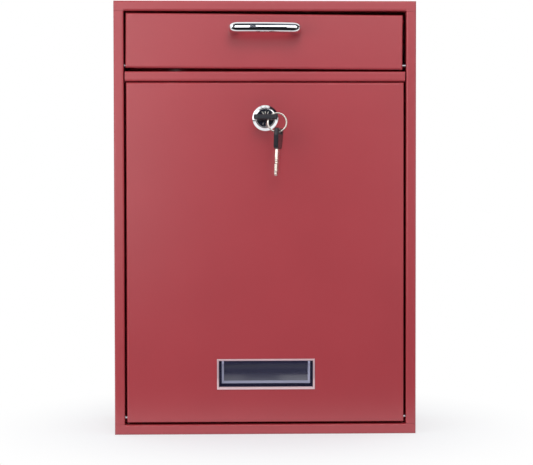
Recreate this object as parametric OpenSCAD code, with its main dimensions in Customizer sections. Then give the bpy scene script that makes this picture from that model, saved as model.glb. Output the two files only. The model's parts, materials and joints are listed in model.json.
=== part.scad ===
// Wall drop box in folded sheet steel: a tilting deposit hopper above a locked collection door.
// The front faces -Y and the wall is at +Y. The origin is the centre of the footprint, at the bottom.

/* [Cabinet] */
// Outer width
cab_w = 285; // [270:1:300]
// Outer height
cab_h = 409; // [395:1:425]
// Outer depth, from the wall to the front face
cab_d = 120; // [112:1:135]
// Thickness of the coated steel sheet
sheet_t = 1.2; // [1:0.1:1.3]
// Outer radius of every fold
bend_r = 1.7; // [1.5:0.1:1.9]
// Width of the front flange round the opening
flange_w = 9.6; // [9:0.2:10.4]
// Depth of the lip folded back from the flange
lip_d = 10; // [9.5:0.5:11]
// Butt seam between the panel flanges and the side flanges
seam = 0.15; // [0.1:0.05:0.3]

/* [Wall holes] */
// Radius of the wall screw holes
wall_hole_r = 3.5; // [2.5:0.25:4.5]
// Spacing across
wall_hole_dx = 180; // [120:5:220]
// Spacing up and down
wall_hole_dz = 240; // [180:5:250]
// Height of the lower pair
wall_hole_z = 60; // [40:5:80]

/* [Cross rail] */
// Height of the rail's face
rail_h = 9.4; // [9:0.1:9.8]
// Depth of the rail, front to back
rail_d = 22.2; // [21.5:0.1:22.2]
// Upturned catch behind the rail, which the cam bears on
catch_h = 5; // [4:0.5:5.5]
// Gap between the rail's ends and the side lips
rail_end_gap = 1; // [0.5:0.1:1.5]

/* [Hopper] */
// Height of the hopper's front
hopper_h = 51.4; // [48:0.2:54]
// Gap between the top flange and the hopper
hopper_top_gap = 2.8; // [2:0.1:3.5]
// Gap between the hopper and the rail
hopper_rail_gap = 2.4; // [2.3:0.1:3]
// Gap at the hopper's left side, seen from the front
hopper_left_gap = 1.6; // [1.4:0.1:2.4]
// Gap at the hopper's right side
hopper_right_gap = 3.4; // [2.4:0.1:3.6]
// How far the hopper hangs out of level, in degrees, right side low
hopper_lean = 0.4; // [0:0.1:0.4]
// Opening travel, in degrees
hopper_travel = 38; // [30:1:42]
// Depth of the hems folded back along the hopper's top and bottom
hem_d = 8; // [7:0.5:9]
// Radius of the side cheeks about the pivot
cheek_r = 46; // [42:1:46]
// Depth of the shelf behind the front face
shelf_d = 72; // [60:1:76]
// Height of the turned-up edge at the back of the shelf
shelf_edge = 8; // [6:1:10]
// Gap between the shelf's ends and the cheeks
shelf_side_gap = 1.6; // [1.5:0.1:2.5]

/* [Door] */
// Gap between the rail and the door
door_top_gap = 1; // [0.8:0.1:1.5]
// Gap between the door and the bottom flange
door_bottom_gap = 2; // [2:0.1:2.6]
// Gap on each side of the door
door_side_gap = 2; // [1.6:0.1:2.4]
// Depth of the door's folded edges
door_d = 12; // [11:0.5:13]
// Opening travel, in degrees
door_travel = 84; // [70:1:90]

/* [Pivot pins] */
// Pin radius
pin_r = 1.5; // [1.3:0.1:1.6]
// Radial running clearance in the lips
pin_clear = 0.08; // [0.05:0.01:0.1]
// Radius of the pin's inner head
pin_head_r = 2.6; // [2.3:0.1:2.7]
// Thickness of that head
pin_head_t = 1.2; // [1:0.1:1.4]
// Length of pin beyond the lip
pin_out = 2.4; // [1.5:0.1:3]
// Hopper pins: distance behind the front face
hopper_pin_y = 4.2; // [4.1:0.1:4.4]
// Hopper pins: distance above the hopper's lower edge
hopper_pin_up = 3.2; // [3:0.1:3.4]
// Door pins: distance behind the front face
door_pin_y = 5; // [4.8:0.1:5.2]
// Door pins: distance above the door's lower edge
door_pin_up = 4.5; // [4.3:0.1:4.8]

/* [Handle] */
// Diameter of the bow's round bar
bar_d = 9.8; // [8:0.2:10]
// Distance between the two legs' centres
bow_centres = 59.2; // [50:0.2:66]
// How far the grip's centre line stands out
bow_out = 21; // [20:0.5:26]
// Radius of the bow's bends, on the centre line
bow_bend = 13; // [8:0.5:14]
// Height of the bow above the pivot
bow_up = 33; // [26:0.2:36]
// Radius of the handle screws
screw_r = 2; // [1.5:0.1:2.2]

/* [Lock] */
// Distance of the lock's centre below the door's upper edge
lock_down = 33.6; // [33:0.2:36]
// Outer radius of the bezel
bezel_r = 12.1; // [11.6:0.1:13]
// Height of the bezel in front of the door
bezel_h = 3.6; // [3.2:0.1:4]
// Radius at which the bezel's bevel starts to fall
bezel_top_r = 8.9; // [8.7:0.1:9.3]
// Height of the bezel's rim
bezel_rim = 0.6; // [0.4:0.1:1]
// Radius of the housing's body
body_r = 9.4; // [9:0.1:9.6]
// Half width across the body's flats
body_flat = 8; // [7.6:0.1:8.2]
// Length of the housing behind the door's face
body_l = 21; // [20:0.1:21]
// Radius of the plug
plug_r = 7; // [6.6:0.1:7.2]
// Radius of the plug's face
plug_face_r = 8.2; // [8:0.1:8.3]
// Running clearance of the plug
plug_clear = 0.08; // [0.05:0.01:0.1]
// Half width of the cam
cam_half = 7; // [6:0.5:8]
// Length of the cam from the axis to its tip
cam_l = 40; // [38:0.5:40]
// Thickness of the cam
cam_t = 2; // [1.5:0.1:2.2]

/* [Keys] */
// Width of a key's head
key_w = 22.5; // [21.5:0.5:23.5]
// Length of a key's head
key_h = 19.5; // [17:0.5:22]
// Thickness of a key's head
key_t = 4.5; // [4.2:0.1:4.6]
// Length of the blade
blade_l = 24.6; // [24.2:0.1:25]
// Width of the blade
blade_w = 8; // [7:0.2:8.4]
// Thickness of the blade
blade_t = 2.2; // [1.8:0.1:2.4]
// Mean radius of the key ring
ring_r = 8.7; // [8.6:0.1:9.2]
// Radius of the ring's wire
wire_r = 0.7; // [0.5:0.05:0.75]
// Turn of the hanging key about its length, in degrees
spare_turn = 14; // [8:1:18]

/* [Window] */
// Width of the window's flange
window_w = 92.6; // [84:0.2:100]
// Height of the window's flange
window_h = 29; // [26:0.5:34]
// Height of the window's centre above the door's lower edge
window_up = 45.5; // [40:0.1:60]
// Window centre's shift to the right
window_x = 0.3; // [0:0.1:2]
// Width of the flange round the door's cut-out
window_lip = 1.8; // [1.6:0.1:2.6]
// Depth of the moulding behind the door's face
window_d = 6; // [5:0.5:8]

/* [Hidden] */
$fn = 48;

red = "#a94a50";
chrome = "#d8dade";
zinc = "#b9bcc0";
black = "#1c1c1e";
clear = "#c9c4c8";

left = -1;
right = 1;
fit = 0.05;        // clearance of a fixed fastener in its hole
rest_gap = 0.3;    // clearance where one piece rests on another
stop_gap = 0.25;   // clearance left at a stop
slip = 0.1;        // clearance between a piece and the sheet it sits in

// Places that follow from the sizes
front_y = -cab_d / 2;
back_y = cab_d / 2;
open_w = cab_w - 2 * flange_w;
inner_w = cab_w - 2 * sheet_t;
hopper_z = cab_h - flange_w - hopper_top_gap - hopper_h;
rail_top = hopper_z - hopper_rail_gap;
rail_z = rail_top - rail_h;
rail_w = open_w - 2 * rail_end_gap;
door_z = flange_w + door_bottom_gap;
door_h = rail_z - door_top_gap - door_z;
door_w = open_w - 2 * door_side_gap;
hopper_w = open_w - hopper_left_gap - hopper_right_gap;
hopper_x = (hopper_left_gap - hopper_right_gap) / 2;
hopper_pin_z = hopper_z + hopper_pin_up;
door_pin_z = door_z + door_pin_up;

// The shelf runs level over the lower hem, then falls to just clear the rail's back edge
hopper_droop = hopper_w / 2 * sin(hopper_lean);
shelf_level = hem_d - sheet_t - bend_r;
shelf_fall = atan((hopper_rail_gap + sheet_t - rest_gap - hopper_droop) / (rail_d - hem_d));
shelf_w = hopper_w - 2 * sheet_t - 2 * shelf_side_gap;
weld_h = 12;

// Stop ears: bent-out tabs that meet the backs of the side lips, from an inner to an outer radius
ear_out = 5.5;
hopper_ear = [37, 44];
door_ear = [9, 13];
hopper_ear_at = acos((lip_d - hopper_pin_y + stop_gap + hopper_droop) / hopper_ear[0])
  - hopper_travel;
door_ear_at = acos((lip_d - door_pin_y + stop_gap) / door_ear[0]) - door_travel;
door_lobe_r = door_ear[1] + 0.6;
door_lobe_up = 6;
door_lobe_down = 8.2;

// Rivet on the right cheek
rivet_y = 5.2;
rivet_up = hopper_h - 5.6;
rivet_r = 3.3;
rivet_h = 1.9;
rivet_shank = 1.6;

// Lock stack, measured back from the door's face
lock_z = door_z + door_h - lock_down;
washer_t = 0.8;
nut_t = 4;
nut_af = 23;
cam_y = body_l + 1.6;
cam_hole = 4;                    // half width of the plug's square end
plug_end = cam_y + cam_t - 0.1;
cam_washer_r = 6.2;
cam_washer_t = 1;
cam_screw_r = 1.9;
cam_screw_l = 5;
cam_head_r = 4.2;
cam_head_t = 2.4;
plug_face = 1.6;                 // height of the plug's face in front of the door

// Key: the blade is inserted to blade_in, and the slot in the head lies across its outer end
blade_in = 20;
keyway_clear = 0.15;
key_round = 0.8;
key_corner = 3.2;
slot_w = 4;
slot_half = 6.4;
end_web = 1.8;
web_r = key_t / 2;
web_x = key_w / 2 - web_r;
head_y = blade_l - blade_in + plug_face;
ring_y = head_y + key_h - end_web - slot_w / 2;

// The ring hangs on the round web at the right end of the slot, a little to the right of it
ring_drop = ring_r - wire_r - web_r - rest_gap;
ring_side = 16;
ring_x = web_x + ring_drop * sin(ring_side);
ring_z = lock_z - ring_drop * cos(ring_side);
spare_side = 9;
spare_lean = 3.5;
spare_x = ring_x + ring_r * sin(spare_side);
spare_z = ring_z - ring_r * cos(spare_side);

// Window: the moulding narrows from the door's cut-out to the pane
hole_w = window_w - 2 * window_lip;
hole_h = window_h - 2 * window_lip;
window_t = 1.2;
window_taper = 3.1;
snap_w = 8;
snap_h = 0.9;
window_corner = 1.6;

function dir(a) = [cos(a), sin(a)];

// Part of a plane from angle a0 round to a0 + a, out to a reach
module wedge(a, a0, reach) {
  polygon([[0, 0], reach * dir(a0), reach / cos(a / 2) * dir(a0 + a / 2), reach * dir(a0 + a)]);
}

// One fold of the sheet about the origin, starting straight below it
module fold(a) {
  intersection() {
    difference() {
      circle(bend_r);
      circle(bend_r - sheet_t);
    }
    wedge(a, -90, 2 * bend_r);
  }
}

// Section of a folded strip. Each step of the path is a straight run, then a turn in degrees:
// positive turns left, negative turns right. The sheet lies to the left of the path.
module strip(path, i = 0) {
  if (i < len(path)) {
    run = path[i][0];
    turn = path[i][1];
    square([run, sheet_t]);
    if (turn > 0)
      translate([run, bend_r]) {
        fold(turn);
        rotate(turn) translate([0, -bend_r]) strip(path, i + 1);
      }
    if (turn < 0)
      translate([run, sheet_t - bend_r]) {
        mirror([0, 1]) fold(-turn);
        rotate(turn) translate([0, bend_r - sheet_t]) strip(path, i + 1);
      }
  }
}

// Sweep a section drawn in the YZ plane along X, from the middle outwards
module along_x(w) {
  rotate([90, 0, 90]) linear_extrude(w, center = true) children();
}

// Turned form about an axis along Y: radius across, height towards the viewer
module turned(x, z) {
  translate([x, front_y, z]) rotate([90, 0, 0]) rotate_extrude($fn = 96) children();
}

// Round bar along Y from y0 to y1 behind the front face
module bar_y(x, z, r, y0, y1) {
  translate([x, front_y + y0, z]) rotate([-90, 0, 0]) cylinder(r = r, h = y1 - y0);
}

// Round bar along X
module bar_x(y, z, r, x0, x1) {
  translate([min(x0, x1), front_y + y, z]) rotate([0, 90, 0]) cylinder(r = r, h = abs(x1 - x0));
}

// Rectangle with round corners
module round_rect(w, h, r) {
  square([w - 2 * r, h], center = true);
  square([w, h - 2 * r], center = true);
  for (x = [-1, 1], y = [-1, 1])
    translate([x * (w / 2 - r), y * (h / 2 - r)]) circle(r);
}

// Section across a tray: open at the back, with its two front edges rounded
module tray_section(w, d, r) {
  translate([-w / 2, r]) square([w, d - r]);
  translate([-w / 2 + r, 0]) square([w - 2 * r, d]);
  for (s = [-1, 1]) translate([s * (w / 2 - r), r]) circle(r);
}

// Solid of a tray with all four front edges rounded, front face at y = 0
module tray_form(w, h, d, r) {
  intersection() {
    linear_extrude(h, center = true) tray_section(w, d, r);
    along_x(w) rotate(-90) mirror([1, 0]) tray_section(h, d, r);
  }
}

// Tray folded from one sheet, its corners closed and dressed
module tray(w, h, d) {
  difference() {
    tray_form(w, h, d, bend_r);
    translate([0, sheet_t, 0])
      tray_form(w - 2 * sheet_t, h - 2 * sheet_t, d, bend_r - sheet_t);
  }
}

// Plan of the whole cabinet, used to round the corners of the top and bottom panels
module plan() {
  round_rect(cab_w, cab_d, bend_r);
}

// Back and side walls in plan, without the front flanges
module wall_section() {
  side_run = cab_d - 2 * bend_r;
  translate([cab_w / 2, front_y + bend_r]) rotate(90)
    strip([[side_run, 90], [cab_w - 2 * bend_r, 90], [side_run, 0]]);
}

// The same sheet with both front flanges and lips
module wrap_section() {
  flange = flange_w - 2 * bend_r;
  side = cab_d - 2 * bend_r;
  lip = lip_d - bend_r;
  translate([open_w / 2, front_y + lip_d]) rotate(-90)
    strip([[lip, 90], [flange, 90], [side, 90], [cab_w - 2 * bend_r, 90],
      [side, 90], [flange, 90], [lip, 0]]);
}

module wall_holes() {
  for (x = [-1, 1], z = [0, 1])
    bar_y(x * wall_hole_dx / 2, wall_hole_z + z * wall_hole_dz, wall_hole_r, cab_d - 3, cab_d + 1);
}

// Bearing holes for the pivot pins in both side lips
module lip_holes(y, z) {
  for (s = [-1, 1])
    bar_x(y, z, pin_r + pin_clear, s * (open_w / 2 - 1), s * (open_w / 2 + sheet_t + 1));
}

module cabinet_wrap() {
  color(red) difference() {
    union() {
      translate([0, 0, sheet_t]) linear_extrude(cab_h - 2 * sheet_t) wall_section();
      translate([0, 0, flange_w + seam])
        linear_extrude(cab_h - 2 * flange_w - 2 * seam) wrap_section();
    }
    wall_holes();
    lip_holes(hopper_pin_y, hopper_pin_z);
    lip_holes(door_pin_y, door_pin_z);
  }
}

// Top panel, welded along the edges of the walls: plate, front flange and lip, the lip only as wide
// as the opening
module panel_cap() {
  plate = cab_d - bend_r;
  flange = flange_w - 2 * bend_r;
  intersection() {
    translate([0, 0, cab_h - flange_w]) linear_extrude(flange_w) plan();
    translate([0, back_y, cab_h]) {
      along_x(cab_w) rotate(180) strip([[plate, 90], [flange, 0]]);
      along_x(open_w) rotate(180) strip([[plate, 90], [flange, 90], [lip_d - bend_r, 0]]);
      for (s = [-1, 1])
        translate([s * (open_w + flange_w) / 2, 0, 0]) along_x(flange_w) rotate(180)
          strip([[plate, 90], [flange + bend_r, 0]]);
    }
  }
}

module top_panel() {
  color(red) panel_cap();
}

module bottom_panel() {
  color(red) translate([0, 0, cab_h]) mirror([0, 0, 1]) panel_cap();
}

// Fixed rail between the hopper and the door: a channel whose ends run behind the side lips
module cross_rail() {
  past = flange_w;
  color(red) difference() {
    translate([0, front_y + rail_d, rail_top]) along_x(inner_w) rotate(180)
      strip([[rail_d - bend_r, 90], [rail_h - 2 * bend_r, 90], [rail_d - 2 * bend_r, 90],
        [catch_h - bend_r, 0]]);
    for (s = [-1, 1])
      translate([s * (rail_w / 2 + past / 2), front_y + (lip_d + rest_gap) / 2, rail_z + rail_h / 2])
        cube([past, lip_d + rest_gap + 1, rail_h + 2], center = true);
  }
}

// Carries what is built square to the hopper over to the angle at which it hangs
module leaned() {
  translate([hopper_x, front_y, hopper_pin_z]) rotate([0, hopper_lean, 0])
    translate([0, 0, -hopper_pin_up]) children();
}

// Places something at a pivot in a sheet's YZ plane, turned to an angle, on one side
module at_ear(y, z, a, x) {
  translate([x, y, z]) rotate([a, 0, 0]) children();
}

// Bent-out ear, its leading face along the radius
module ear(span, side) {
  reach = ear_out + sheet_t;
  translate([side > 0 ? -sheet_t : -ear_out, span[0], -sheet_t])
    cube([reach, span[1] - span[0], sheet_t]);
}

// The window in the sheet that the ear was bent out of
module ear_window(span) {
  translate([-2 * sheet_t, span[0] - 0.4, -sheet_t - ear_out])
    cube([4 * sheet_t, span[1] - span[0] + 0.8, ear_out]);
}

// Side cheek of the hopper: a sector about the pivot
module cheek_section() {
  dip = 12;
  intersection() {
    circle(cheek_r, $fn = 128);
    polygon([[0, 0], 2 * cheek_r * dir(-dip), 2 * cheek_r * dir(45), [0, 2 * cheek_r]]);
  }
}

module hopper_sheet() {
  relief = 8;
  difference() {
    union() {
      translate([0, 0, hopper_h / 2]) tray(hopper_w, hopper_h, hem_d);
      for (s = [-1, 1]) {
        translate([s * (hopper_w - sheet_t) / 2, hopper_pin_y, hopper_pin_up])
          along_x(sheet_t) cheek_section();
        at_ear(hopper_pin_y, hopper_pin_up, hopper_ear_at, s * hopper_w / 2) ear(hopper_ear, s);
      }
    }
    // The lower hem stops short of the cheeks, to leave room for the pin heads
    for (s = [-1, 1]) {
      translate([s * (hopper_w / 2 - sheet_t - relief / 2), sheet_t + hem_d / 2, 0])
        cube([relief, hem_d, 4 * sheet_t], center = true);
      at_ear(hopper_pin_y, hopper_pin_up, hopper_ear_at, s * (hopper_w - sheet_t) / 2)
        ear_window(hopper_ear);
      translate([s * bow_centres / 2, -1, hopper_pin_up + bow_up]) rotate([-90, 0, 0])
        cylinder(r = screw_r + slip, h = sheet_t + 2);
    }
    translate([hopper_w / 2 - sheet_t - 1, rivet_y, rivet_up]) rotate([0, 90, 0])
      cylinder(r = rivet_shank + fit, h = sheet_t + 2);
  }
}

module hopper_front() {
  color(red) difference() {
    leaned() hopper_sheet();
    for (s = [-1, 1])
      bar_x(hopper_pin_y, hopper_pin_z, pin_r + fit,
        hopper_x + s * (hopper_w / 2 - sheet_t - 1), hopper_x + s * (hopper_w / 2 + 1));
  }
}

// Shelf that carries the mail: welded up the back of the front, level over the hem, then falling
module hopper_shelf() {
  slope = (shelf_d - hem_d) / cos(shelf_fall) - bend_r;
  color(red) leaned()
    translate([0, sheet_t, sheet_t + weld_h]) along_x(shelf_w) rotate(-90)
      strip([[weld_h - bend_r, 90], [shelf_level, -shelf_fall], [slope, 90 + shelf_fall],
        [shelf_edge - bend_r, 0]]);
}

// Pivot pin: a head inside the sheet, and a stub that runs in the side lip
module pivot_pin(side, y, z, face_x) {
  inside = face_x - side * sheet_t;
  color(zinc) {
    bar_x(y, z, pin_r, inside - side * 0.1, side * (open_w / 2 + sheet_t + pin_out));
    bar_x(y, z, pin_head_r, inside - side * slip, inside - side * (slip + pin_head_t));
  }
}

module hopper_pin_left() {
  pivot_pin(left, hopper_pin_y, hopper_pin_z, hopper_x - hopper_w / 2);
}

module hopper_pin_right() {
  pivot_pin(right, hopper_pin_y, hopper_pin_z, hopper_x + hopper_w / 2);
}

module door_pin_left() {
  pivot_pin(left, door_pin_y, door_pin_z, -door_w / 2);
}

module door_pin_right() {
  pivot_pin(right, door_pin_y, door_pin_z, door_w / 2);
}

// Dome-headed rivet through the right cheek
module cheek_rivet() {
  dome_r = (rivet_r * rivet_r + rivet_h * rivet_h) / (2 * rivet_h);
  color(chrome) leaned() translate([hopper_w / 2, rivet_y, rivet_up]) rotate([0, 90, 0]) {
    intersection() {
      translate([0, 0, rivet_h - dome_r]) sphere(dome_r, $fn = 64);
      cylinder(r = rivet_r + 1, h = rivet_h + 1);
    }
    translate([0, 0, -sheet_t - 0.1]) cylinder(r = rivet_shank, h = sheet_t + 0.2);
    translate([0, 0, -sheet_t - 1.1]) cylinder(r = rivet_shank + 0.9, h = 1);
  }
}

// Bow handle: one round bar, bent twice
module pull_handle() {
  leg = bow_out - bow_bend;
  hole_l = 10;
  color(chrome) leaned() translate([0, 0, hopper_pin_up + bow_up]) difference() {
    union() {
      for (s = [-1, 1]) {
        translate([s * bow_centres / 2, -leg, 0]) rotate([-90, 0, 0])
          cylinder(d = bar_d, h = leg);
        translate([s * (bow_centres / 2 - bow_bend), -leg, 0])
          rotate([0, 0, s > 0 ? -90 : 180])
            rotate_extrude(angle = 90) translate([bow_bend, 0]) circle(d = bar_d);
      }
      translate([-bow_centres / 2 + bow_bend, -bow_out, 0]) rotate([0, 90, 0])
        cylinder(d = bar_d, h = bow_centres - 2 * bow_bend);
    }
    for (s = [-1, 1])
      translate([s * bow_centres / 2, -hole_l, 0]) rotate([-90, 0, 0])
        cylinder(r = screw_r + fit, h = hole_l + 1);
  }
}

// Pan-head screw from inside the hopper into one leg of the bow
module handle_screw(side) {
  head_r = 1.9 * screw_r;
  head_t = 2.2;
  color(zinc) leaned() translate([side * bow_centres / 2, 0, hopper_pin_up + bow_up])
    rotate([-90, 0, 0]) {
      difference() {
        translate([0, 0, sheet_t]) cylinder(r = head_r, h = head_t);
        translate([0, 0, sheet_t + head_t - 1]) linear_extrude(2) {
          square([2 * screw_r, 0.9], center = true);
          square([0.9, 2 * screw_r], center = true);
        }
      }
      translate([0, 0, -8]) cylinder(r = screw_r, h = sheet_t + 8);
    }
}

module handle_screw_left() {
  handle_screw(left);
}

module handle_screw_right() {
  handle_screw(right);
}

// Round outline with two flats, as the lock's body and its hole in the door
module double_d(r, flat) {
  intersection() {
    circle(r, $fn = 96);
    square([2 * flat, 3 * r], center = true);
  }
}

// Lobe at each lower back corner of the door, which carries the stop ear
module door_lobe() {
  behind_lip = lip_d - door_pin_y + 2 * rest_gap;
  intersection() {
    circle(door_lobe_r);
    difference() {
      translate([0, -door_lobe_down]) square([door_lobe_r, door_lobe_down + door_lobe_up]);
      translate([0, -door_lobe_down - 1]) square([behind_lip, door_lobe_down + 1 - door_pin_up]);
    }
  }
}

module door_panel() {
  color(red) difference() {
    union() {
      translate([0, front_y, door_z + door_h / 2]) tray(door_w, door_h, door_d);
      for (s = [-1, 1]) {
        translate([s * (door_w - sheet_t) / 2, front_y + door_pin_y, door_pin_z])
          along_x(sheet_t) door_lobe();
        at_ear(front_y + door_pin_y, door_pin_z, door_ear_at, s * door_w / 2) ear(door_ear, s);
      }
    }
    for (s = [-1, 1])
      bar_x(door_pin_y, door_pin_z, pin_r + fit, s * (door_w / 2 - sheet_t - 1),
        s * (door_w / 2 + 1));
    translate([0, front_y - 1, lock_z]) rotate([-90, 0, 0])
      linear_extrude(sheet_t + 2) double_d(body_r + slip, body_flat + slip);
    translate([window_x, front_y - 1, door_z + window_up]) rotate([-90, 0, 0])
      linear_extrude(sheet_t + 2) square([hole_w, hole_h], center = true);
  }
}

// Block that narrows evenly from the front face to its back
module frustum(w, h, d, taper) {
  intersection() {
    linear_extrude(h + 2, center = true)
      polygon([[-w / 2, 0], [w / 2, 0], [w / 2 - taper, d], [taper - w / 2, d]]);
    along_x(w + 2)
      polygon([[0, -h / 2], [d, taper - h / 2], [d, h / 2 - taper], [0, h / 2]]);
  }
}

// Clear moulded window: flange outside, tapered recess through the door, pane at the back
module window_lens() {
  flange_t = 1;
  w = hole_w - 2 * slip;
  h = hole_h - 2 * slip;
  recess_w = w - 2 * window_t;
  recess_h = h - 2 * window_t;
  color(clear, 0.6) translate([window_x, front_y, door_z + window_up]) difference() {
    union() {
      rotate([90, 0, 0]) linear_extrude(flange_t) round_rect(window_w, window_h, window_corner);
      frustum(w, h, window_d, window_taper);
      // Snap ridges behind the sheet, two above and two below
      for (x = [-1, 1], m = [0, 1])
        mirror([0, 0, m]) translate([x * w / 4, 0, h / 2]) along_x(snap_w)
          polygon([[sheet_t + slip, -window_taper], [sheet_t + slip, snap_h - slip],
            [window_d - 1, -window_taper]]);
    }
    frustum(recess_w, recess_h, window_d - window_t, window_taper);
    translate([-recess_w / 2, -flange_t - 1, -recess_h / 2])
      cube([recess_w, flange_t + 1.01, recess_h]);
  }
}

// Housing: a bevelled bezel outside and a body with two flats inside
module lock_housing() {
  color(chrome) difference() {
    union() {
      turned(0, lock_z)
        polygon([[0, 0], [bezel_r, 0], [bezel_r, bezel_rim], [bezel_top_r, bezel_h], [0, bezel_h]]);
      translate([0, front_y, lock_z]) rotate([-90, 0, 0])
        linear_extrude(body_l) double_d(body_r, body_flat);
    }
    bar_y(0, lock_z, plug_r + plug_clear, -bezel_h, body_l + 1);
    bar_y(0, lock_z, plug_face_r + slip, -bezel_h - 1, -plug_face + 1.2);
  }
}

module lock_washer() {
  color(zinc) difference() {
    bar_y(0, lock_z, body_r + 3, sheet_t, sheet_t + washer_t);
    bar_y(0, lock_z, body_r + slip, 0, sheet_t + washer_t + 1);
  }
}

module lock_nut() {
  across = nut_af / cos(30) / 2;
  color(zinc) difference() {
    translate([0, front_y + sheet_t + washer_t, lock_z]) rotate([-90, 0, 0])
      cylinder(r = across, h = nut_t, $fn = 6);
    bar_y(0, lock_z, body_r + fit, 0, sheet_t + washer_t + nut_t + 1);
  }
}

module lock_plug() {
  color(chrome) difference() {
    union() {
      bar_y(0, lock_z, plug_r, -plug_face + 1, cam_y - slip);
      bar_y(0, lock_z, plug_face_r, -plug_face, -plug_face + 1.1);
      translate([-cam_hole, front_y + cam_y - 1, lock_z - cam_hole])
        cube([2 * cam_hole, plug_end - cam_y + 1, 2 * cam_hole]);
    }
    // Keyway
    translate([-blade_w / 2 - keyway_clear, front_y - plug_face - 1, lock_z - blade_t / 2 - keyway_clear])
      cube([blade_w + 2 * keyway_clear, blade_in + 1.3, blade_t + 2 * keyway_clear]);
    bar_y(0, lock_z, cam_screw_r + fit, plug_end - cam_screw_l, plug_end + 1);
  }
}

// Flat cam on the plug's square end, pointing left while the lock is open
module lock_cam() {
  color(zinc) translate([0, front_y + cam_y, lock_z]) rotate([-90, 0, 0]) linear_extrude(cam_t)
    difference() {
      union() {
        circle(cam_half + 1.5);
        translate([-cam_l + 3, -cam_half]) square([cam_l - 3, 2 * cam_half]);
        translate([-cam_l, -cam_half + 3]) square([4, 2 * cam_half - 6]);
        for (s = [-1, 1]) translate([-cam_l + 3, s * (cam_half - 3)]) circle(3);
      }
      square(2 * (cam_hole + fit), center = true);
    }
}

module cam_washer() {
  y = cam_y + cam_t;
  color(zinc) difference() {
    bar_y(0, lock_z, cam_washer_r, y, y + cam_washer_t);
    bar_y(0, lock_z, cam_screw_r + slip, y - 1, y + cam_washer_t + 1);
  }
}

module cam_screw() {
  y = cam_y + cam_t + cam_washer_t;
  color(zinc) {
    bar_y(0, lock_z, cam_screw_r, plug_end - cam_screw_l + 0.5, y + 0.1);
    difference() {
      bar_y(0, lock_z, cam_head_r, y, y + cam_head_t);
      translate([0, front_y + y + cam_head_t, lock_z]) rotate([-90, 0, 0])
        linear_extrude(2, center = true) {
          square([2 * cam_screw_r + 0.6, 1], center = true);
          square([1, 2 * cam_screw_r + 0.6], center = true);
        }
    }
  }
}

// Key in its own frame: the head starts at y = 0 and runs to y = -key_h, the blade points to +y
module key_bow() {
  end = key_h - key_corner;
  shoulder = 4.5;
  notch = key_h - end_web - slot_w;
  difference() {
    hull()
      for (x = [-1, 1]) {
        translate([x * (key_w / 2 - key_corner), -end, 0]) rounded_disc(key_corner);
        translate([x * (key_w / 2 - shoulder - 1), -shoulder + 1, 0]) rounded_disc(shoulder - 1);
      }
    translate([-slot_half, -notch - slot_w, -key_t]) cube([key_w, slot_w, 2 * key_t]);
    translate([0, 0, -blade_t / 2 - fit]) linear_extrude(blade_t + 2 * fit) blade_root(fit);
  }
  translate([web_x, -notch + 1, 0]) rotate([90, 0, 0]) cylinder(r = web_r, h = slot_w + 1.8);
}

// Disc with a rounded rim, for the corners of the key's head
module rounded_disc(r) {
  rotate_extrude($fn = 32) {
    square([r - key_round, key_t / 2]);
    mirror([0, 1]) square([r - key_round, key_t / 2]);
    translate([r - key_round, 0]) square([key_round, key_t - 2 * key_round], center = true);
    for (s = [-1, 1])
      translate([r - key_round, s * (key_t / 2 - key_round)]) circle(key_round, $fn = 24);
  }
}

// The blade's root, moulded into the head
module blade_root(grow) {
  translate([-blade_w / 2 - 1 - grow, -8 - grow]) square([blade_w + 2 + 2 * grow, 8 + 2 * grow]);
}

// Steel blade with its shoulder, guide groove and cuts
module key_steel() {
  groove_w = 1.4;
  groove_d = 0.5;
  cut_at = [4, 7.5, 11, 14.5, 18];
  cut_d = [0.9, 1.6, 0.7, 1.4, 1.1];
  from = blade_l - blade_in + 1.6;
  difference() {
    translate([0, 0, -blade_t / 2]) linear_extrude(blade_t) {
      blade_root(0);
      translate([-blade_w / 2, 0]) square([blade_w, blade_l - 2.5]);
      polygon([[-blade_w / 2, blade_l - 2.6], [blade_w / 2, blade_l - 2.6],
        [1.2, blade_l], [-1.2, blade_l]]);
    }
    for (s = [-1, 1])
      translate([-0.8 - groove_w / 2, 1, s * blade_t / 2 - groove_d])
        cube([groove_w, blade_l, 2 * groove_d]);
    for (i = [0 : len(cut_at) - 1])
      translate([blade_w / 2, from + cut_at[i] - 1.2, 0]) linear_extrude(2 * blade_t, center = true)
        polygon([[1, -2.2], [-cut_d[i], -0.5], [-cut_d[i], 0.5], [1, 2.2]]);
  }
}

// The key in the lock lies flat, its head outside the plug
module in_lock() {
  translate([0, front_y - head_y, lock_z]) children();
}

// The other key hangs from the ring by its slot, seen nearly edge on
module hung() {
  hang = key_h - end_web - wire_r - key_t / 2 * tan(spare_side + spare_lean) - rest_gap - slip;
  translate([spare_x, front_y - ring_y, spare_z]) rotate([0, spare_lean, 0])
    rotate([0, 0, -spare_turn]) rotate([0, 90, 0]) rotate([0, 0, -90])
      translate([0, hang, 0]) children();
}

module key_blade() {
  color(zinc) in_lock() key_steel();
}

module key_head() {
  color(black) in_lock() key_bow();
}

module key_ring() {
  color(chrome) translate([ring_x, front_y - ring_y, ring_z]) rotate([90, 0, 0])
    rotate_extrude($fn = 96) translate([ring_r, 0]) circle(wire_r, $fn = 24);
}

module spare_key_blade() {
  color(zinc) hung() key_steel();
}

module spare_key_head() {
  color(black) hung() key_bow();
}

cabinet_wrap();
top_panel();
bottom_panel();
cross_rail();
hopper_front();
hopper_shelf();
hopper_pin_left();
hopper_pin_right();
cheek_rivet();
pull_handle();
handle_screw_left();
handle_screw_right();
door_panel();
door_pin_left();
door_pin_right();
window_lens();
lock_housing();
lock_washer();
lock_nut();
lock_plug();
lock_cam();
cam_washer();
cam_screw();
key_blade();
key_head();
key_ring();
spare_key_blade();
spare_key_head();
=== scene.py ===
import json
import math

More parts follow.
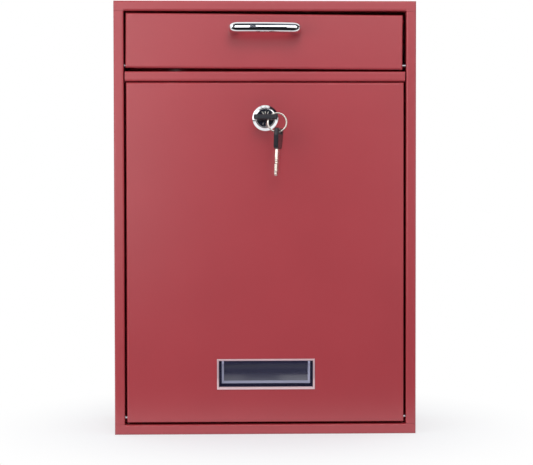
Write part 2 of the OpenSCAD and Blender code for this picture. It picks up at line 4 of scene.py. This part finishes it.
import bmesh
import bpy
from mathutils import Matrix, Vector


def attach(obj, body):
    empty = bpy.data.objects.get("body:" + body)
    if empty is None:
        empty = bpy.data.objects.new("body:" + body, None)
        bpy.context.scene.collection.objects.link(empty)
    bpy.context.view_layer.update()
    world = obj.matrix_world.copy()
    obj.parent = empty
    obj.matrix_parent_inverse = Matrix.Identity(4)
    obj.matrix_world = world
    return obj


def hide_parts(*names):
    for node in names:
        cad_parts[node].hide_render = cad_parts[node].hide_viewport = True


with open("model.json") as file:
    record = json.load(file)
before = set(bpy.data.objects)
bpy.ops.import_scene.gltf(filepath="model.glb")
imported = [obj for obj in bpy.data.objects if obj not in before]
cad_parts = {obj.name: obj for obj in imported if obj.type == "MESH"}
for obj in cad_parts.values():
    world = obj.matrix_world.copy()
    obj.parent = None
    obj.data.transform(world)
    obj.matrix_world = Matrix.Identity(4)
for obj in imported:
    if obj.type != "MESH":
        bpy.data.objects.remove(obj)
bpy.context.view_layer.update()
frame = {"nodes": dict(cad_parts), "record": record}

nodes = frame["nodes"]
mm = 0.001
white = (1, 1, 1, 1)
black = (0, 0, 0, 1)
print("frame loaded:", len(nodes), "nodes")


def hexColour(text):
    # sRGB hex to the linear colour that sockets hold
    channels = [int(text[i:i + 2], 16) / 255 for i in (1, 3, 5)]
    return [c / 12.92 if c <= 0.04045 else ((c + 0.055) / 1.055) ** 2.4 for c in channels] + [1]


def addNode(tree, kind, settings=None, links=None):
    # settings: node properties or input values; links: input name -> (node, output name)
    node = tree.nodes.new(kind)
    for name, value in (settings or {}).items():
        if isinstance(name, int) or name in node.inputs:
            node.inputs[name].default_value = value
        else:
            setattr(node, name, value)
    for name, (source, output) in (links or {}).items():
        tree.links.new(source.outputs[output], node.inputs[name])
    return node


def newMaterial(name, shader):
    material = bpy.data.materials.new(name)
    material.use_nodes = True
    tree = material.node_tree
    tree.nodes.clear()
    principled = addNode(tree, "ShaderNodeBsdfPrincipled", shader)
    addNode(tree, "ShaderNodeOutputMaterial", None, {"Surface": (principled, "BSDF")})
    place = addNode(tree, "ShaderNodeTexCoord")
    return material, tree, principled, place


def mixColours(tree, factor, low, high):
    # low and high are hex colours, factor is (node, output name)
    return addNode(tree, "ShaderNodeMix",
        {"data_type": "RGBA", 6: hexColour(low), 7: hexColour(high)}, {0: factor})


def addGrain(tree, shader, place, values):
    # Bumps of the values' grain, in mm, on the whole surface
    grain = addNode(tree, "ShaderNodeTexNoise", {
        "Scale": 1 / (values["grainSize"] * mm), "Detail": values["grainDetail"]},
        {"Vector": (place, "Object")})
    bump = addNode(tree, "ShaderNodeBump", {
        "Strength": 1, "Distance": values["grainHeight"] * mm}, {"Height": (grain, "Fac")})
    tree.links.new(bump.outputs["Normal"], shader.inputs["Normal"])


redPowderCoat = {
    # The coat is the flowed-out top of the film
    "shader": {"Roughness": 0.42, "IOR": 1.5, "Specular IOR Level": 0.3,
        "Coat Weight": 0.85, "Coat Roughness": 0.24, "Coat IOR": 1.7},
    "colour": "#a9323b",
    "patchColour": "#a63039",
    "patchSize": 70,            # mm, slow change in the film's depth
    "patchDetail": 2,
    "patchSpan": (0.35, 0.65),  # of the noise, from one colour to the other
    "grainSize": 1.6,           # mm between the bumps of the orange peel
    "grainHeight": 0.010,       # mm
    "grainDetail": 2,
}


def makeRedPowderCoat():
    # Polyester powder coat, sprayed and baked: satin red, faint orange peel, a soft white sheen at
    # the top of each panel where it faces the lamps
    values = redPowderCoat
    material, tree, shader, place = newMaterial("redPowderCoat", values["shader"])
    patches = addNode(tree, "ShaderNodeTexNoise", {
        "Scale": 1 / (values["patchSize"] * mm), "Detail": values["patchDetail"]},
        {"Vector": (place, "Object")})
    low, high = values["patchSpan"]
    spread = addNode(tree, "ShaderNodeMapRange", {"From Min": low, "From Max": high},
        {"Value": (patches, "Fac")})
    colour = mixColours(tree, (spread, "Result"), values["colour"], values["patchColour"])
    tree.links.new(colour.outputs[2], shader.inputs["Base Color"])
    addGrain(tree, shader, place, values)
    return material


chromePlate = {
    "colour": "#f3f4f6",
    "hazeSize": 14,             # mm
    "hazeDetail": 3,
    "hazeSpan": (0.3, 0.7),     # of the noise, from the one roughness to the other
    "roughness": (0.03, 0.06),
}


def makeChromePlate():
    # Bright nickel-chrome plating over polished metal: a near mirror, a touch blue, a faint haze
    values = chromePlate
    material, tree, shader, place = newMaterial("chromePlate", {
        "Base Color": hexColour(values["colour"]), "Metallic": 1})
    haze = addNode(tree, "ShaderNodeTexNoise", {
        "Scale": 1 / (values["hazeSize"] * mm), "Detail": values["hazeDetail"]},
        {"Vector": (place, "Object")})
    low, high = values["hazeSpan"]
    least, most = values["roughness"]
    gloss = addNode(tree, "ShaderNodeMapRange", {
        "From Min": low, "From Max": high, "To Min": least, "To Max": most},
        {"Value": (haze, "Fac")})
    tree.links.new(gloss.outputs["Result"], shader.inputs["Roughness"])
    return material


# Flake sizes in mm, a little coarser than real so that they show
zincSteel = {"colour": "#d6d8dc", "darkColour": "#b8bbc2", "flakeSize": 1.6,
    "roughness": (0.24, 0.4)}
keySteel = {"colour": "#f1ede4", "darkColour": "#ddd8cf", "flakeSize": 0.8,
    "roughness": (0.2, 0.32)}


def makePlatedSteel(name, values):
    # Zinc on the fittings and nickel on the keys, barrel plated: satin metal with a fine spangle
    # of duller and brighter flakes
    material, tree, shader, place = newMaterial(name, {"Metallic": 1})
    flakes = addNode(tree, "ShaderNodeTexVoronoi", {"Scale": 1 / (values["flakeSize"] * mm)},
        {"Vector": (place, "Object")})
    grey = addNode(tree, "ShaderNodeSeparateColor", None, {"Color": (flakes, "Color")})
    colour = mixColours(tree, (grey, "Red"), values["colour"], values["darkColour"])
    tree.links.new(colour.outputs[2], shader.inputs["Base Color"])
    least, most = values["roughness"]
    gloss = addNode(tree, "ShaderNodeMapRange", {"To Min": least, "To Max": most},
        {"Value": (grey, "Green")})
    tree.links.new(gloss.outputs["Result"], shader.inputs["Roughness"])
    return material


blackPlastic = {
    "shader": {"Base Color": hexColour("#26262c"), "Roughness": 0.26, "IOR": 1.58},
    "grainSize": 0.5,           # mm
    "grainHeight": 0.01,        # mm
    "grainDetail": 2,
}


def makeBlackPlastic():
    # Black ABS, injection moulded: deep black with a soft sheen and a spark-eroded grain
    values = blackPlastic
    material, tree, shader, place = newMaterial("blackPlastic", values["shader"])
    addGrain(tree, shader, place, values)
    return material


# Clear window: a crowned lip outside, a flat ledge, then sloping walls down to the pane
windowValues = {
    "centre": (0.3, 57.1),      # mm: across, up
    "face": -60,                # mm, the door's face
    "size": (92.6, 29.0),       # mm, outside the lip
    "corner": 1.3,              # mm
    "cornerReach": 1.85,        # mm in from the lip's edge, where the corners are rounded
    "cornerSegments": 4,
    # width in from the last step and rise (+) or drop (-), mm
    "front": [(0.2, 0.35), (0.7, 0.2), (0.65, -0.2), (0.25, -0.45), (0.12, -0.65), (2.4, -0.05),
        (0.2, -0.15), (1.7, -4.1), (0.35, -0.2)],
    "sideRise": 0.45,           # mm, straight side of the lip before it crowns
    "ledgeEnd": 4.4,            # mm in from the lip's edge
    "raise": 1.3,               # mm, that the ledge is wider along the bottom
    "back": [(1.95, 0.0), (0.01, 0.9), (2.9, 4.6), (0.5, 0.5)],
}
clearPlastic = {
    "shader": {"Roughness": 0.14, "IOR": 1.49},
    "insetUnit": 10,            # mm in from an edge, that an inset of 1 stands for
    # mm in from the lip's edge, over which one zone turns into the next
    "lipToLedge": (1.85, 2.0),
    "ledgeToWall": (4.5, 4.65),
    "wallToPane": (6.4, 6.6),
    "lipHighlightBelow": 0.6,            # mm, that the lip's painted highlight reaches further in along the bottom
    "paneSpan": (-7, 12),       # mm from the window's middle, the lowest and highest tone
    # Painted highlight on the lip, lightest along its bottom
    "lipHighlightTones": [(0, "#dcc0c4"), (0.2, "#bda6ad"), (0.8, "#bda6ad"), (1, "#c9a9ae")],
    # Painted shade of the box's dark inside seen through the pane, lighter towards the bottom
    "paneShadeTones": [(0, "#5c5c69"), (0.45, "#3a3a4e"), (1, "#2a2a42")],
    # Painted shade of the box's dark inside seen through the ledge
    "ledgeShadeColour": "#22233a",
    # Painted highlight on the sloping walls
    "wallHighlightColour": "#a9aac2",
    # Greys of the alpha
    "ledgeSolid": "#d8d8d8",
    "wallSolid": "#f4f4f4",
    "paneSolid": "#f0f0f0",
    "grainSize": 16,            # mm, flow ripples
    "grainHeight": 0.008,       # mm
    "grainDetail": 1,
}


def makeClearPlastic():
    # Clear acrylic, injection moulded, with slow flow ripples. Its colours hold painted light: a
    # milky painted highlight on the lip, lightest along its bottom, and on the sloping walls;
    # painted shade of the box's dark inside, with a bluish haze, on the flat ledge and the pane,
    # the pane lighter towards the bottom
    values = clearPlastic
    unit = values["insetUnit"]
    material, tree, shader, place = newMaterial("clearPlastic", values["shader"])
    across, up = windowValues["centre"]
    width, height = windowValues["size"]
    centred = addNode(tree, "ShaderNodeMapping", {"Location": (-across * mm, 0, -up * mm)},
        {"Vector": (place, "Object")})
    away = addNode(tree, "ShaderNodeVectorMath", {"operation": "ABSOLUTE"},
        {0: (centred, "Vector")})
    axes = addNode(tree, "ShaderNodeSeparateXYZ", None, {"Vector": (away, "Vector")})
    rawAxes = addNode(tree, "ShaderNodeSeparateXYZ", None, {"Vector": (centred, "Vector")})

    def inset(source, axis, edge):
        # How far in from an edge a point lies, in the values' unit
        inner = edge - unit if edge > 0 else edge + unit
        return addNode(tree, "ShaderNodeMapRange", {
            "From Min": edge * mm, "From Max": inner * mm}, {"Value": (source, axis)})

    def combine(operation, first, second):
        return addNode(tree, "ShaderNodeMath", {"operation": operation}, {0: first, 1: second})

    def ramp(source, stops):
        node = addNode(tree, "ShaderNodeValToRGB", None, {"Fac": source})
        points = node.color_ramp.elements
        while len(points) < len(stops):
            points.new(0.5)
        for point, (at, colour) in zip(points, stops):
            point.position = at
            point.color = hexColour(colour)
        return node

    def change(zones, before, after):
        # Ramp stops at the change from one zone to the next
        start, end = values[zones]
        return [(start / unit, before), (end / unit, after)]

    fromSide = inset(axes, "X", width / 2)
    fromTop = inset(rawAxes, "Z", height / 2)
    lipHighlightBelow = inset(rawAxes, "Z", values["lipHighlightBelow"] - height / 2)
    wallBelow = inset(rawAxes, "Z", windowValues["raise"] - height / 2)
    lipEnds = combine("MINIMUM", (fromTop, "Result"), (lipHighlightBelow, "Result"))
    lipInset = combine("MINIMUM", (fromSide, "Result"), (lipEnds, "Value"))
    wallInset = combine("MINIMUM", (fromSide, "Result"), (wallBelow, "Result"))
    # The lip and the walls get painted highlights, the ledge and the pane painted shade
    lip = ramp((lipInset, "Value"), change("lipToLedge", "#ffffff", "#000000"))
    walls = ramp((wallInset, "Value"),
        change("ledgeToWall", values["ledgeShadeColour"], values["wallHighlightColour"]))
    inPane = ramp((wallInset, "Value"), change("wallToPane", "#000000", "#ffffff"))
    low, high = values["paneSpan"]
    level = addNode(tree, "ShaderNodeMapRange", {"From Min": low * mm, "From Max": high * mm},
        {"Value": (rawAxes, "Z")})
    pane = ramp((level, "Result"), values["paneShadeTones"])
    paintedLipHighlight = ramp((level, "Result"), values["lipHighlightTones"])
    inner = addNode(tree, "ShaderNodeMix", {"data_type": "RGBA"},
        {0: (inPane, "Color"), 6: (walls, "Color"), 7: (pane, "Color")})
    colour = addNode(tree, "ShaderNodeMix", {"data_type": "RGBA"},
        {0: (lip, "Color"), 6: (inner, 2), 7: (paintedLipHighlight, "Color")})
    tree.links.new(colour.outputs[2], shader.inputs["Base Color"])
    solid = ramp((wallInset, "Value"),
        change("ledgeToWall", values["ledgeSolid"], values["wallSolid"])
        + change("wallToPane", values["wallSolid"], values["paneSolid"]))
    alpha = combine("MAXIMUM", (lip, "Color"), (solid, "Color"))
    tree.links.new(alpha.outputs["Value"], shader.inputs["Alpha"])
    addGrain(tree, shader, place, values)
    return material


finishes = {
    "red_powder_coat": makeRedPowderCoat(),
    "chrome_plate": makeChromePlate(),
    "zinc_steel": makePlatedSteel("zincSteel", zincSteel),
    "black_plastic": makeBlackPlastic(),
    "clear_plastic": makeClearPlastic(),
}
keyFinish = makePlatedSteel("keySteel", keySteel)
for part in frame["record"]["subparts"]:
    node, slot = part["node"], part["material_slot"]
    mesh = nodes[node].data
    mesh.materials.clear()
    mesh.materials.append(keyFinish if "blade" in node else finishes[slot])
print("materials made")

sharpAngle = 50     # degrees; a new piece stays crisp across sharper edges


def newObject(name, bm, materials):
    # Closes a bmesh into an object at the origin
    mesh = bpy.data.meshes.new(name)
    bm.to_mesh(mesh)
    bm.free()
    for material in materials:
        mesh.materials.append(material)
    made = bpy.data.objects.new(name, mesh)
    bpy.context.scene.collection.objects.link(made)
    return made


def newPiece(name, bm, body, material, replaced=None, smooth=True):
    # Closes a bmesh into a piece that moves with a body
    bmesh.ops.recalc_face_normals(bm, faces=bm.faces)
    piece = newObject(name, bm, [material])
    if smooth:
        for face in piece.data.polygons:
            face.use_smooth = True
        piece.data.set_sharp_from_angle(angle=math.radians(sharpAngle))
    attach(piece, body)
    if replaced:
        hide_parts(replaced)


def newPlate(width, depth):
    # A bmesh of one flat face about the origin
    bm = bmesh.new()
    bmesh.ops.create_grid(bm, x_segments=1, y_segments=1, size=0.5)
    bmesh.ops.scale(bm, vec=(width, depth, 1), verts=bm.verts)
    return bm


def turn(bm, verts, degrees, axis, centre=(0, 0, 0)):
    bmesh.ops.rotate(bm, cent=centre, verts=verts,
        matrix=Matrix.Rotation(math.radians(degrees), 3, axis))


def grow(bm, face, keep=False):
    # Extrudes a face where it lies, and gives the new face and its vertices to be moved
    grown = bmesh.ops.extrude_face_region(bm, geom=[face], use_keep_orig=keep)["geom"]
    verts = [g for g in grown if isinstance(g, bmesh.types.BMVert)]
    return next(g for g in grown if isinstance(g, bmesh.types.BMFace)), verts


def makeWindow():
    values = windowValues
    across, up = values["centre"]
    width, height = values["size"]
    bm = newPlate(width * mm, height * mm)
    turn(bm, bm.verts, 90, "X")
    bmesh.ops.translate(bm, vec=(across * mm, values["face"] * mm, up * mm), verts=bm.verts)
    back = bm.faces[:][0]
    face, rise = grow(bm, back, keep=True)
    bmesh.ops.translate(bm, vec=(0, -values["sideRise"] * mm, 0), verts=rise)
    bmesh.ops.recalc_face_normals(bm, faces=bm.faces)
    for cap, steps in ((face, values["front"]), (back, values["back"])):
        for inward, depth in steps:
            bmesh.ops.inset_region(bm, faces=[cap], thickness=inward * mm, depth=depth * mm,
                use_even_offset=True, use_boundary=True)
    end = values["ledgeEnd"]
    inner = [v for v in bm.verts if end * mm < v.co.z - (up - height / 2) * mm < height / 2 * mm
        and abs(v.co.x - across * mm) < (width / 2 - end) * mm]
    bmesh.ops.translate(bm, vec=(0, 0, values["raise"] * mm), verts=inner)

    def cornerEdge(edge):
        near = []
        for vert in edge.verts:
            gapX = width * mm / 2 - abs(vert.co.x - across * mm)
            gapZ = height * mm / 2 - abs(vert.co.z - up * mm)
            onDiagonal = abs(gapX - gapZ) < 0.01 * mm
            near.append(max(gapX, gapZ) < values["cornerReach"] * mm and onDiagonal)
        return all(near)

    bmesh.ops.bevel(bm, geom=[e for e in bm.edges if cornerEdge(e)], offset=values["corner"] * mm,
        affect="EDGES", segments=values["cornerSegments"], profile=0.5, material=-1,
        clamp_overlap=True)
    newPiece("windowMoulding", bm, "door", finishes["clear_plastic"],
        "window_lens")


makeWindow()
print("window made")

# Split ring: two turns of wire side by side, with the crossing where one passes over the other
ringValues = {
    "centre": (10.50, -81.9, 293.56),   # mm
    "radius": 8.7,                      # mm, to the wire's middle
    "wire": (1.36, 0.66),               # mm: across the ring, along its axis
    "edgeRound": 0.22,                  # mm
    "turns": 1.93,
    "crossing": 40,                     # degrees over which the wire moves across
    "start": 200,                       # degrees
    "steps": 150,
}


def makeSplitRing():
    values = ringValues
    wide, thick = values["wire"]
    bm = newPlate(wide * mm, thick * mm)
    bmesh.ops.bevel(bm, geom=bm.verts[:], offset=values["edgeRound"] * mm, affect="VERTICES",
        segments=2, profile=0.5, material=-1)
    bmesh.ops.translate(bm, vec=(values["radius"] * mm, -thick / 2 * mm, 0), verts=bm.verts)
    turn(bm, bm.verts, values["start"], "Y")
    step = 360 * values["turns"] / values["steps"]
    crossing = values["crossing"]
    begin = (360 * values["turns"] - crossing) / 2

    def shift(angle):
        # Share of the way across to the second turn
        share = min(1, max(0, (angle - begin) / crossing))
        return share * share * (3 - 2 * share)

    # The section lies in the plane through the ring's axis, and the turns carry it round
    face = bm.faces[:][0]
    for i in range(values["steps"]):
        face, verts = grow(bm, face)
        turn(bm, verts, step, "Y")
        move = thick * (shift((i + 1) * step) - shift(i * step))
        bmesh.ops.translate(bm, vec=(0, move * mm, 0), verts=verts)
    bmesh.ops.translate(bm, vec=[v * mm for v in values["centre"]], verts=bm.verts)
    newPiece("splitRing", bm, "keys", keyFinish, "key_ring")


makeSplitRing()
print("split ring made")

# Index ticks pressed into relief on the plug's face
tickValues = {
    "centre": (0, 298.8),       # mm: across, up
    "face": -61.6,              # mm, the plug's face
    "angles": (90, 64, 116, 248),
    "radius": 5.4,              # mm, to the tick's middle
    "size": (0.7, 2.5, 0.18),   # mm: width, length, height
    "edgeRound": 0.12,          # mm
}


def makeTicks():
    values = tickValues
    across, up = values["centre"]
    width, length, height = values["size"]
    bm = bmesh.new()
    for angle in values["angles"]:
        made = bmesh.ops.create_cube(bm, size=1)["verts"]
        bmesh.ops.scale(bm, vec=(length * mm, 2 * height * mm, width * mm), verts=made)
        edges = list({e for v in made for e in v.link_edges})
        rounded = bmesh.ops.bevel(bm, geom=edges, offset=values["edgeRound"] * mm,
            affect="EDGES", segments=2, profile=0.5, material=-1)["faces"]
        made = list({v for f in rounded for v in f.verts})
        bmesh.ops.translate(bm, vec=(values["radius"] * mm, 0, 0), verts=made)
        turn(bm, made, -angle, "Y")
        bmesh.ops.translate(bm, vec=(across * mm, values["face"] * mm, up * mm), verts=made)
    newPiece("plugTicks", bm, "plug", keyFinish, smooth=False)


makeTicks()
print("plug ticks made")

# Bow handle: one round bar with tight ends, its grip bowed a little outwards
handleValues = {
    "bar": 9.8,                 # mm, diameter
    "sides": 40,
    "centres": 59.2,            # mm, between the legs
    "out": 21,                  # mm, from the front's face to the middle of the bar
    "bend": 4.95,               # mm, radius of the bends
    "bendSteps": 14,
    "bow": 6,                   # degrees that each half of the grip turns
    "bowSteps": 18,
    "foot": (-0.9, -60, 348.4), # mm, the hopper's pivot line
    "lean": 0.4,                # degrees, as the hopper hangs
    "up": 33,                   # mm, above the pivot line
}


def makeHandle():
    values = handleValues
    half, out, bend = values["centres"] / 2, values["out"], values["bend"]
    bow = math.radians(values["bow"])
    sweep = (half - bend * (1 - math.sin(bow))) / math.sin(bow)
    leg = out - bend * math.cos(bow) - sweep * (1 - math.cos(bow))
    corner = 90 - values["bow"]
    bm = bmesh.new()
    bmesh.ops.create_circle(bm, cap_ends=True, segments=values["sides"], radius=values["bar"] / 2)
    turn(bm, bm.verts, 90, "X")
    bmesh.ops.translate(bm, vec=(-half, 0, 0), verts=bm.verts)
    face = bm.faces[:][0]
    # centre of the turn or None, degrees to turn or move in mm, steps
    bar = [
        (None, (0, -leg, 0), 1),
        ((bend - half, -leg, 0), corner, values["bendSteps"]),
        ((0, sweep - out, 0), 2 * values["bow"], values["bowSteps"]),
        ((half - bend, -leg, 0), corner, values["bendSteps"]),
        (None, (0, leg, 0), 1),
    ]
    for centre, move, steps in bar:
        for i in range(steps):
            face, verts = grow(bm, face)
            if centre:
                turn(bm, verts, move / steps, "Z", centre)
            else:
                bmesh.ops.translate(bm, vec=move, verts=verts)
    bmesh.ops.translate(bm, vec=(0, 0, values["up"]), verts=bm.verts)
    turn(bm, bm.verts, values["lean"], "Y")
    bmesh.ops.translate(bm, vec=values["foot"], verts=bm.verts)
    bmesh.ops.scale(bm, vec=(mm, mm, mm), verts=bm.verts)
    newPiece("bowHandle", bm, "hopper", finishes["chrome_plate"], "pull_handle")


makeHandle()
print("handle made")

# Stepped inner edge of the bezel: a flat band, then a fine raised bead round the plug
bezelValues = {
    "centre": (0, 298.8),       # mm: across, up
    "sides": 96,
    # radius and y, mm, round the section
    "section": [(9.62, -62.6), (9.62, -63.42), (9.5, -63.54), (8.82, -63.56), (8.74, -63.62),
        (8.7, -63.8), (8.6, -63.9), (8.46, -63.9), (8.36, -63.8), (8.32, -63.6), (8.32, -62.6)],
}


def makeBezelStep():
    values = bezelValues
    across, up = values["centre"]
    section = values["section"]
    bm = bmesh.new()
    bmesh.ops.create_circle(bm, cap_ends=False, segments=values["sides"], radius=section[0][0])
    turn(bm, bm.verts, 90, "X")
    bmesh.ops.translate(bm, vec=(0, section[0][1], 0), verts=bm.verts)
    ring = bm.edges[:]
    for (wasRadius, wasY), (radius, y) in zip(section, section[1:] + section[:1]):
        grown = bmesh.ops.extrude_edge_only(bm, edges=ring)["geom"]
        ring = [g for g in grown if isinstance(g, bmesh.types.BMEdge)]
        verts = [g for g in grown if isinstance(g, bmesh.types.BMVert)]
        share = radius / wasRadius
        bmesh.ops.scale(bm, vec=(share, 1, share), verts=verts)
        bmesh.ops.translate(bm, vec=(0, y - wasY, 0), verts=verts)
    bmesh.ops.remove_doubles(bm, verts=bm.verts, dist=0.001)
    bmesh.ops.translate(bm, vec=(across, 0, up), verts=bm.verts)
    bmesh.ops.scale(bm, vec=(mm, mm, mm), verts=bm.verts)
    newPiece("bezelStep", bm, "door", finishes["chrome_plate"])


makeBezelStep()
print("bezel step made")

studio = {
    "floorSide": 12.0,           # m
    "floorShader": {"Base Color": hexColour("#eaeff7"), "Roughness": 0.7,
        "Specular IOR Level": 0.1},
    "floorLift": 0.55,           # share of plain white in the floor under the box
    "fadeStart": 0.07,           # m from the box's middle, where the floor turns to all white
    "fadeEnd": 0.3,
    "darkStart": 0.12,           # m in front of the box's middle, where reflections see it fall off
    "darkEnd": 0.27,
    "darkColour": (0.012, 0.012, 0.014, 1),
    "ambient": 0.42,
}


def makeFloor():
    # Matt white cove: takes the shadow near the box and turns all white away from it
    values = studio
    material, tree, shader, place = newMaterial("whiteCove", values["floorShader"])
    distance = addNode(tree, "ShaderNodeVectorMath", {"operation": "LENGTH"},
        {0: (place, "Object")})
    fade = addNode(tree, "ShaderNodeMapRange", {
        "From Min": values["fadeStart"], "From Max": values["fadeEnd"],
        "To Min": values["floorLift"], "interpolation_type": "SMOOTHSTEP"},
        {"Value": (distance, "Value")})
    ray = addNode(tree, "ShaderNodeLightPath")
    shown = addNode(tree, "ShaderNodeMath", {"operation": "MAXIMUM"},
        {0: (ray, "Is Camera Ray"), 1: (ray, "Is Glossy Ray")})
    seen = addNode(tree, "ShaderNodeMath", {"operation": "MULTIPLY"},
        {0: (shown, "Value"), 1: (fade, "Result")})
    bright = addNode(tree, "ShaderNodeEmission", {"Color": white, "Strength": 1})
    lifted = addNode(tree, "ShaderNodeMixShader", None,
        {0: (seen, "Value"), 1: (shader, "BSDF"), 2: (bright, "Emission")})
    axes = addNode(tree, "ShaderNodeSeparateXYZ", None, {"Vector": (place, "Object")})
    ahead = addNode(tree, "ShaderNodeMapRange", {
        "From Min": -values["darkStart"], "From Max": -values["darkEnd"],
        "interpolation_type": "SMOOTHSTEP"}, {"Value": (axes, "Y")})
    unlit = addNode(tree, "ShaderNodeMath", {"operation": "MULTIPLY"},
        {0: (ray, "Is Glossy Ray"), 1: (ahead, "Result")})
    dark = addNode(tree, "ShaderNodeEmission", {"Color": values["darkColour"], "Strength": 1})
    surface = addNode(tree, "ShaderNodeMixShader", None,
        {0: (unlit, "Value"), 1: (lifted, "Shader"), 2: (dark, "Emission")})
    output = next(n for n in tree.nodes if n.type == "OUTPUT_MATERIAL")
    tree.links.new(surface.outputs["Shader"], output.inputs["Surface"])
    side = values["floorSide"]
    newObject("studioFloor", newPlate(side, side), [material])


def makeWorld():
    # White to the camera, to gloss and through glass; softer as light on the box
    world = bpy.data.worlds.new("whiteStudio")
    bpy.context.scene.world = world
    world.use_nodes = True
    tree = world.node_tree
    tree.nodes.clear()
    ray = addNode(tree, "ShaderNodeLightPath")
    either = addNode(tree, "ShaderNodeMath", {"operation": "MAXIMUM"},
        {0: (ray, "Is Camera Ray"), 1: (ray, "Is Transmission Ray")})
    shown = addNode(tree, "ShaderNodeMath", {"operation": "MAXIMUM"},
        {0: (either, "Value"), 1: (ray, "Is Glossy Ray")})
    strength = addNode(tree, "ShaderNodeMapRange", {"To Min": studio["ambient"], "To Max": 1},
        {"Value": (shown, "Value")})
    background = addNode(tree, "ShaderNodeBackground", {"Color": white},
        {"Strength": (strength, "Result")})
    addNode(tree, "ShaderNodeOutputWorld", None, {"Surface": (background, "Background")})


lampValues = {
    # name: place, aim, width, height (m), watts
    "keySoftbox": ((0.1, -2.0, 1.6), (0, 0, 0.2), 0.9, 0.7, 15.8),
    "fillSoftbox": ((-1.2, -1.3, 0.35), (0, 0, 0.15), 1.0, 0.7, 6.5),
    "topSoftbox": ((0, -0.1, 1.9), (0, 0, 0.2), 1.6, 1.2, 14),
}


def makeLamps():
    for name, (place, aim, width, height, watts) in lampValues.items():
        light = bpy.data.lights.new(name, "AREA")
        light.shape = "RECTANGLE"
        light.size, light.size_y = width, height
        light.energy = watts
        lamp = bpy.data.objects.new(name, light)
        lamp.location = place
        lamp.visible_glossy = False     # the room's scrims stand in for it
        lamp.rotation_mode = "QUATERNION"
        lamp.rotation_quaternion = (Vector(aim) - Vector(place)).to_track_quat("-Z", "Y")
        bpy.context.scene.collection.objects.link(lamp)


# The room in front of the box that the gloss reflects: dim cloth with lit scrims in it.
# Only reflections see it. Azimuth 0 is straight ahead of the box, and is positive to the right.
roomValues = {
    "centre": (0, -0.06, 0.25),     # m
    "radius": 2.9,                  # m
    "step": 3,                      # degrees, size of a face
    "widest": 87,                   # degrees, azimuth of the cloth's edges
    "lowest": -24,                  # degrees, elevation of its lower edge
    "cloth": ("#1d2029", 1),
    "scrims": [
        # azimuths, elevations (degrees), colour, strength; a later one lies over an earlier one
        ((-87, -9), (36, 75), "#1a1c24", 1),
        ((-9, 9), (39, 75), "#3f434d", 1),
        ((9, 87), (39, 75), "#6c707a", 1),
        ((-87, 87), (75, 90), "#a6a9b0", 1),
        ((-87, -66), (-24, 39), "#ffffff", 1.6),
        ((-87, -78), (39, 90), "#ffffff", 1.2),
        ((-42, -6), (-24, 36), "#ffffff", 1.8),
        ((-42, -6), (15, 36), "#ffffff", 2.7),
        ((-6, -3), (-6, 39), "#5c606a", 1),
        ((-3, 60), (12, 39), "#ffffff", 1.8),
        ((-3, 60), (18, 39), "#ffffff", 2.3),
        ((-3, 9), (6, 12), "#a9adb8", 1),
        ((12, 60), (-18, 15), "#ffffff", 1),
        ((66, 99), (12, 69), "#15171d", 1),
    ],
}


def makeRoom():
    values = roomValues
    step = values["step"]
    bm = bmesh.new()
    bmesh.ops.create_uvsphere(bm, u_segments=360 // step, v_segments=180 // step,
        radius=values["radius"])
    kept = {}
    for face in bm.faces:
        way = face.calc_center_median().normalized()
        azimuth = math.degrees(math.atan2(way.x, -way.y))
        elevation = math.degrees(math.asin(way.z))
        if abs(azimuth) < values["widest"] and elevation > values["lowest"]:
            kept[face] = 0
        for i, ((left, right), (low, high), colour, strength) in enumerate(values["scrims"]):
            if left <= azimuth <= right and low <= elevation <= high:
                kept[face] = i + 1
    for face, index in kept.items():
        face.material_index = index
    bmesh.ops.delete(bm, geom=[f for f in bm.faces if f not in kept], context="FACES")
    bmesh.ops.translate(bm, vec=values["centre"], verts=bm.verts)
    # Lit cloth, seen only for its colour
    looks = [values["cloth"]] + [scrim[2:] for scrim in values["scrims"]]
    materials = [newMaterial(f"roomCloth{i}", {
        "Base Color": black, "Roughness": 1, "Specular IOR Level": 0,
        "Emission Color": hexColour(colour), "Emission Strength": strength})[0]
        for i, (colour, strength) in enumerate(looks)]
    room = newObject("dimRoom", bm, materials)
    room.visible_camera = False
    room.visible_shadow = False
    room.visible_diffuse = False
    room.visible_transmission = False


cameraValues = {
    "place": (-0.029833, -1.36, 0.22345),                     # m
    "yaw": 0.023707, "pitch": -0.024883, "roll": -0.001398,   # radians
    "focalPixels": 1379.0,
    "imageWidth": 533,          # pixels
    "sensorWidth": 36,          # mm
    "clip": (0.05, 60),         # m
}


def makeCamera():
    values = cameraValues
    yaw, pitch, roll = values["yaw"], values["pitch"], values["roll"]
    ahead = Vector((math.sin(yaw) * math.cos(pitch), math.cos(yaw) * math.cos(pitch),
        math.sin(pitch)))
    side = Vector((math.cos(yaw), -math.sin(yaw), 0))
    above = side.cross(ahead)
    right = side * math.cos(roll) + above * math.sin(roll)
    up = above * math.cos(roll) - side * math.sin(roll)
    data = bpy.data.cameras.new("photoCamera")
    data.sensor_width = values["sensorWidth"]
    data.lens = values["focalPixels"] * values["sensorWidth"] / values["imageWidth"]
    data.clip_start, data.clip_end = values["clip"]
    camera = bpy.data.objects.new("photoCamera", data)
    facing = Matrix((right, up, -ahead)).transposed().to_4x4()
    camera.matrix_world = Matrix.Translation(values["place"]) @ facing
    bpy.context.scene.collection.objects.link(camera)
    bpy.context.scene.camera = camera


makeFloor()
makeWorld()
makeLamps()
makeRoom()
makeCamera()
bpy.context.scene.view_settings.view_transform = "Standard"
print("studio made")
